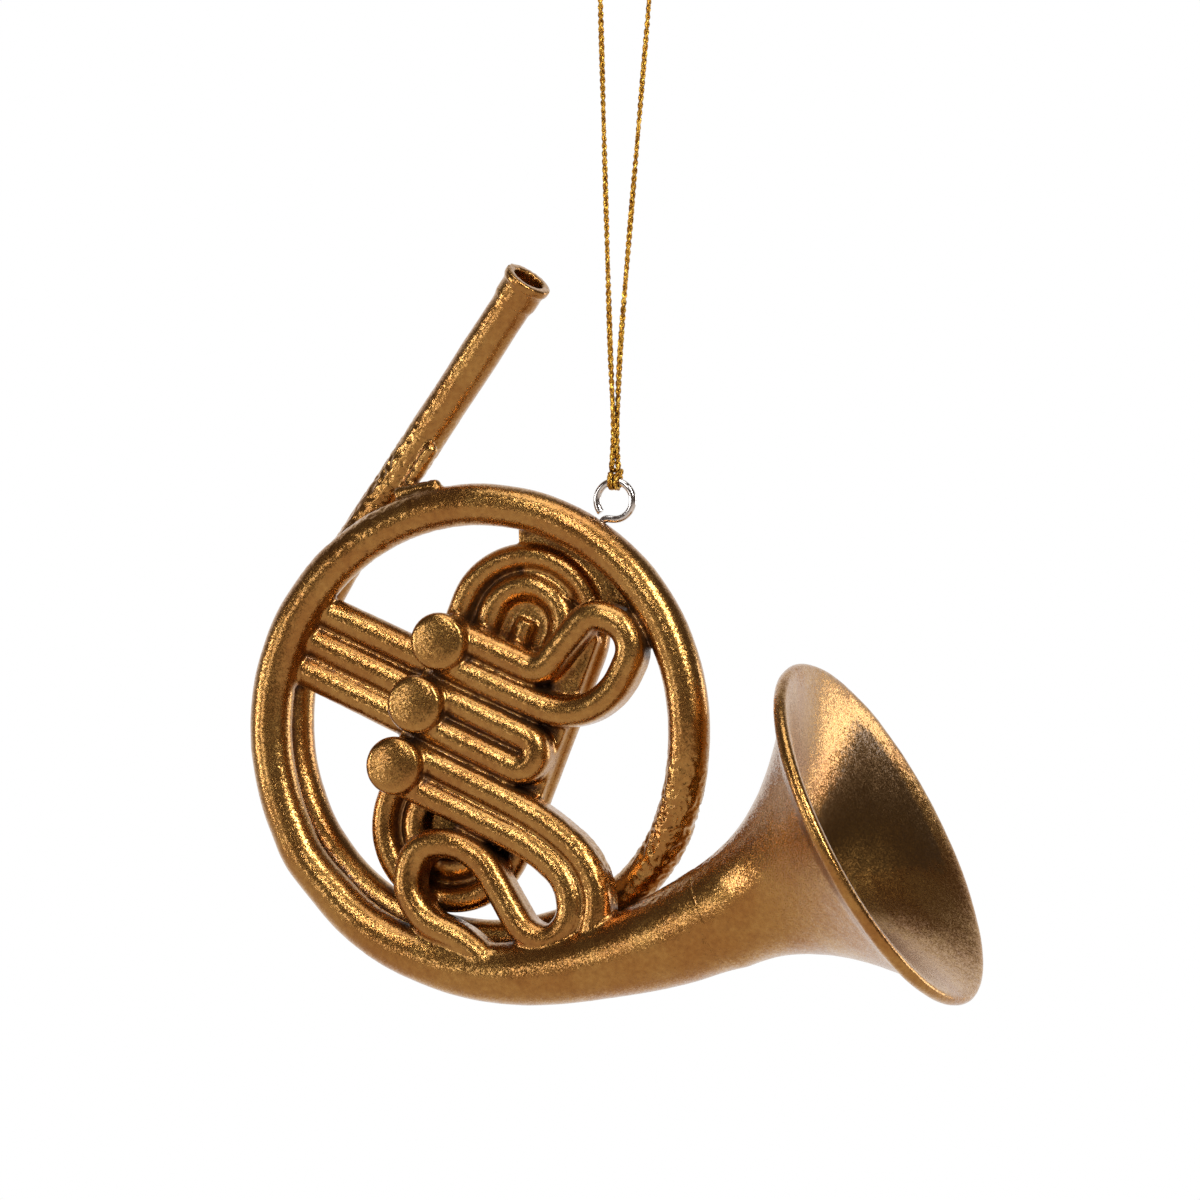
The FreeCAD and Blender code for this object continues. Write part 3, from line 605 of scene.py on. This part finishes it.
def cast_piece(node):
    """A CAD piece with its edges worn soft and its surface a little uneven, as cast."""
    mesh = frame["nodes"][node].data.copy()
    for neighbour in LAPPED_ENDS.get(node, []):
        lap_end(mesh, node, neighbour)
    cast = remeshed(mesh, VOXEL.get(node, FINE_VOXEL) * MM, CAST_ROUNDS)
    roughen(cast, domed(node) if node.startswith("valve_cap") else None)
    piece = new_piece(node + "_cast", cast, GOLD)
    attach(piece, "horn")
    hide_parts(node)


BELL_CENTRE = on_horn(58.1, 0, -14.2)
BELL_TILT = math.radians(26.5)
BELL_AXIS = Vector((math.cos(BELL_TILT), 0, math.sin(BELL_TILT)))

# The bell's profile in mm, as radius and depth behind the mouth. The outside follows one curve.
BELL_FOOT = [(0, 27.2), (7.2, 27.2), (7.62, 26.3)]
BELL_OUTSIDE_DEPTHS = (24.5, 21, 17.5, 14, 10.5, 7.5, 5, 3.4)
BELL_MOUTH, BELL_TAIL, BELL_LENGTH, BELL_CURVE = 25.6, 7.7, 26.0, 1.92
BELL_LIP = [(25.0, 2.1), (25.6, 1.35), (25.62, 0.6), (25.15, 0.05), (24.4, 0.12), (23.4, 0.42)]
BELL_HOLLOW = [(21.6, 1.2), (18.8, 2.65), (15.4, 4.75), (12.0, 7.2), (8.8, 9.8), (6.0, 12.2), (3.2, 13.9),
               (0.0, 14.4)]
BELL_STEP = 0.3 * MM
BELL_ROUND = 420

# Painted light in the hollow: a painted dark reflection over a sector of it out to a radius, and painted
# shade in the throat. Radii and the fades at them are in mm, and the fade at the sector's sides is in
# cosine.
REFLECTION_MIDDLE, REFLECTION_REACH, REFLECTION_SIDE_FADE = math.radians(72), math.radians(41), 0.16
REFLECTION_RADIUS, REFLECTION_FADE = 22.9, 1.4
THROAT_SHADE_RADIUS, THROAT_SHADE_FADE, THROAT_SHADE_TONE = 11, 4, 0.8


def bell_profile():
    """Radius and depth behind the mouth: up the outside, over the rolled lip, and down the hollow."""
    outside = []
    for depth in BELL_OUTSIDE_DEPTHS:
        widening = max(0, 1 - depth / BELL_LENGTH) ** BELL_CURVE
        outside.append((BELL_TAIL + (BELL_MOUTH - BELL_TAIL) * widening, depth))
    places = BELL_FOOT + outside + BELL_LIP + BELL_HOLLOW
    line = spline_points([Vector((radius, depth, 0)) * MM for radius, depth in places])
    return even_steps(line, BELL_STEP)[:, :2]


def make_bell():
    """The bell turned about its axis, with a painted dark reflection on the far side of its hollow and
    painted shade in its throat.
    """
    profile = bell_profile()
    up = BELL_AXIS.cross(Vector((0, 1, 0)))
    angles = np.arange(BELL_ROUND) * 2 * math.pi / BELL_ROUND
    outward = np.outer(np.cos(angles), up) + np.outer(np.sin(angles), [0, 1, 0])
    ring_places = profile[1:-1]
    places = (np.array(BELL_CENTRE) + ring_places[:, 0][:, None, None] * outward[None]
              - (ring_places[:, 1][:, None] * np.array(BELL_AXIS))[:, None])
    rings = len(ring_places)
    faces = []
    for ring in range(rings - 1):
        for k in range(BELL_ROUND):
            a = ring * BELL_ROUND + k
            b = ring * BELL_ROUND + (k + 1) % BELL_ROUND
            faces.append((a, b, b + BELL_ROUND, a + BELL_ROUND))
    ends = [BELL_CENTRE - BELL_AXIS * float(profile[end][1]) for end in (0, -1)]
    foot, floor = rings * BELL_ROUND, rings * BELL_ROUND + 1
    for k in range(BELL_ROUND):
        following = (k + 1) % BELL_ROUND
        last = (rings - 1) * BELL_ROUND
        faces.append((foot, following, k))
        faces.append((last + k, last + following, floor))
    mesh = bpy.data.meshes.new("bell_cast")
    mesh.from_pydata(np.concatenate([places.reshape(-1, 3), np.array(ends)]).tolist(), [], faces)
    face_outward(mesh)
    # A 0 to 1 mask of painted light: a dark reflection on the hollow's far side, and shade in its throat.
    mouth_ring = int(np.argmin(ring_places[:, 1]))
    hollow = np.arange(rings) > mouth_ring
    radius = ring_places[:, 0] / MM
    depth_part = np.clip((REFLECTION_RADIUS - radius) / REFLECTION_FADE, 0, 1) * hollow
    side_part = np.clip((np.cos(angles - REFLECTION_MIDDLE) - math.cos(REFLECTION_REACH)) / REFLECTION_SIDE_FADE, 0, 1)
    throat_shade = np.clip((THROAT_SHADE_RADIUS - radius) / THROAT_SHADE_FADE, 0, THROAT_SHADE_TONE) * hollow
    hollow_reflection_shade = np.maximum(np.outer(depth_part, side_part), throat_shade[:, None])
    hollow_reflection_shade = np.concatenate([hollow_reflection_shade.ravel(), [0, 1]])
    mesh.attributes.new("hollow_reflection_shade", "FLOAT", "POINT").data.foreach_set("value", hollow_reflection_shade.astype(np.float32))
    roughen(mesh)
    piece = new_piece("bell_cast", mesh, GOLD)
    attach(piece, "horn")
    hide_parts("bell_flare", "bell_rim")


WIRE_VOXEL = 0.08 * MM
WIRE_ROUNDS = 12


def make_wire_eye():
    """The bent wire with an even, finely divided surface for its reflections."""
    wire = remeshed(frame["nodes"]["screw_eye"].data.copy(), WIRE_VOXEL, WIRE_ROUNDS)
    piece = new_piece("screw_eye_wire", wire, NICKEL)
    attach(piece, "horn")
    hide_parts("screw_eye")


FILLET_VOXEL = 0.27 * MM
FILLET_ROUNDS = 15

# Bars of resin behind the pieces, by their two ends and their width in mm: between the slides and the
# back loops' right-hand run, and between the valve casings.
FLASH_BARS = [(on_horn(14.9, 1.6, 12.6), on_horn(5.1, 1.6, -13.0), 4.2),
              (on_horn(-4.5, -0.2, 11.3), on_horn(-11.0, -0.2, -5.5), 3.6)]
FLASH_DEPTH = 2.6 * MM


def flash_bar(top, foot, width):
    """A straight bar's mesh, from one place to another."""
    sideways = (foot - top).normalized().cross(Vector((0, 1, 0))) * width * MM / 2
    inward = Vector((0, FLASH_DEPTH / 2, 0))
    surface = bmesh.new()
    for end in (top, foot):
        for corner in (sideways + inward, sideways - inward, -sideways - inward, -sideways + inward):
            surface.verts.new(end + corner)
    bmesh.ops.convex_hull(surface, input=surface.verts)
    mesh = bpy.data.meshes.new("flash_bar")
    surface.to_mesh(mesh)
    surface.free()
    return mesh


def make_fillets(nodes):
    """The paint and resin that fill the corners between the pieces: all of them together, worn
    so smooth that the surface lies inside their crests and outside their creases."""
    cast = [frame["nodes"][node].data for node in nodes]
    mesh = gathered_mesh(cast + [flash_bar(*bar) for bar in FLASH_BARS])
    worn = remeshed(mesh, FILLET_VOXEL, FILLET_ROUNDS)
    roughen(worn)
    piece = new_piece("casting_fillets", worn, GOLD)
    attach(piece, "horn")


CAST_NODES = [node for node in frame["record"]["behaviour"]["bodies"]["horn"] if node != "screw_eye"]
for node in CAST_NODES:
    if not node.startswith("bell_") or node == "bell_tail":
        cast_piece(node)
make_bell()
make_fillets([node for node in CAST_NODES if node not in ("bell_flare", "bell_rim")])
make_wire_eye()


# ---------------------------------------------------------------- floor, light and surroundings

FLOOR_REACH = 3.0
FLOOR_HEIGHT = -0.215


def make_floor():
    """A white floor that lights nothing and doesn't show in reflections."""
    s = Shader("pale_floor")
    glow = s.node("Emission", {"Color": (1, 1, 1, 1), "Strength": 1.0})
    material = s.finish(glow)
    mesh = bpy.data.meshes.new("floor")
    corners = [(-1, -1), (1, -1), (1, 1), (-1, 1)]
    mesh.from_pydata([(x * FLOOR_REACH, y * FLOOR_REACH, FLOOR_HEIGHT) for x, y in corners], [],
                     [(0, 1, 2, 3)])
    floor = new_piece("floor", mesh, material)
    floor.visible_glossy = False
    floor.visible_diffuse = False


# White panels that face the ornament: name, azimuth (0 is in front, and 90 on the right) and elevation
# in degrees, distance, width and height in metres, and power in watts.
PANELS = [("key", 52, 34, 0.9, 0.11, 0.5, 4.2),
          ("front_strip", 0, 36, 1.1, 0.055, 0.7, 2.9),
          ("left_fill", -36, 4, 1.2, 0.16, 0.45, 1.1),
          ("left_side", -68, 2, 1.2, 0.14, 0.45, 2.4),
          ("right_back", 132, 4, 1.0, 0.22, 0.5, 1.7),
          ("top", 20, 78, 0.9, 0.6, 0.4, 2.0)]


def make_light(name, azimuth, elevation, distance, width, height, power):
    a, e = math.radians(azimuth), math.radians(elevation)
    outward = Vector((math.sin(a) * math.cos(e), -math.cos(a) * math.cos(e), math.sin(e)))
    data = bpy.data.lights.new(name, "AREA")
    data.shape = "RECTANGLE"
    data.size = width
    data.size_y = height
    data.energy = power
    light = bpy.data.objects.new(name, data)
    light.location = COIL_CENTRE + outward * distance
    light.rotation_mode = "QUATERNION"
    light.rotation_quaternion = outward.to_track_quat("Z", "Y")
    bpy.context.scene.collection.objects.link(light)


def make_world():
    """White as seen directly; in reflections white behind, pale below, and dim and warm elsewhere."""
    world = bpy.data.worlds.new("studio")
    bpy.context.scene.world = world
    world.use_nodes = True
    tree = world.node_tree
    tree.nodes.clear()

    def add(kind, inputs=(), **settings):
        return add_node(tree, kind, inputs, **settings)

    def towards(direction, start, end):
        """From 0 to 1 as the ray turns into this direction."""
        facing = add("VectorMath", {0: ray, 1: tuple(direction)}, operation="DOT_PRODUCT")
        return add("MapRange", {"Value": facing.outputs["Value"], "From Min": start, "From Max": end},
                   interpolation_type="SMOOTHSTEP").outputs[0]

    def blended(factor, first, second):
        return add("Mix", {0: factor, 6: first, 7: second}, data_type="RGBA").outputs[2]

    ray = add("TexCoord").outputs["Generated"]
    colour = blended(towards(-UP, 0.02, 0.32), (0.085, 0.065, 0.056, 1), (0.66, 0.57, 0.50, 1))
    colour = blended(towards(-CAMERA_BACK, 0.30, 0.88), colour, (1, 1, 1, 1))
    colour = blended(add("LightPath").outputs["Is Camera Ray"], colour, (1, 1, 1, 1))
    background = add("Background", {"Color": colour, "Strength": 1.0})
    output = add("OutputWorld")
    tree.links.new(background.outputs[0], output.inputs["Surface"])


make_floor()
make_world()
for panel in PANELS:
    make_light(*panel)
bpy.context.scene.view_settings.view_transform = "Standard"
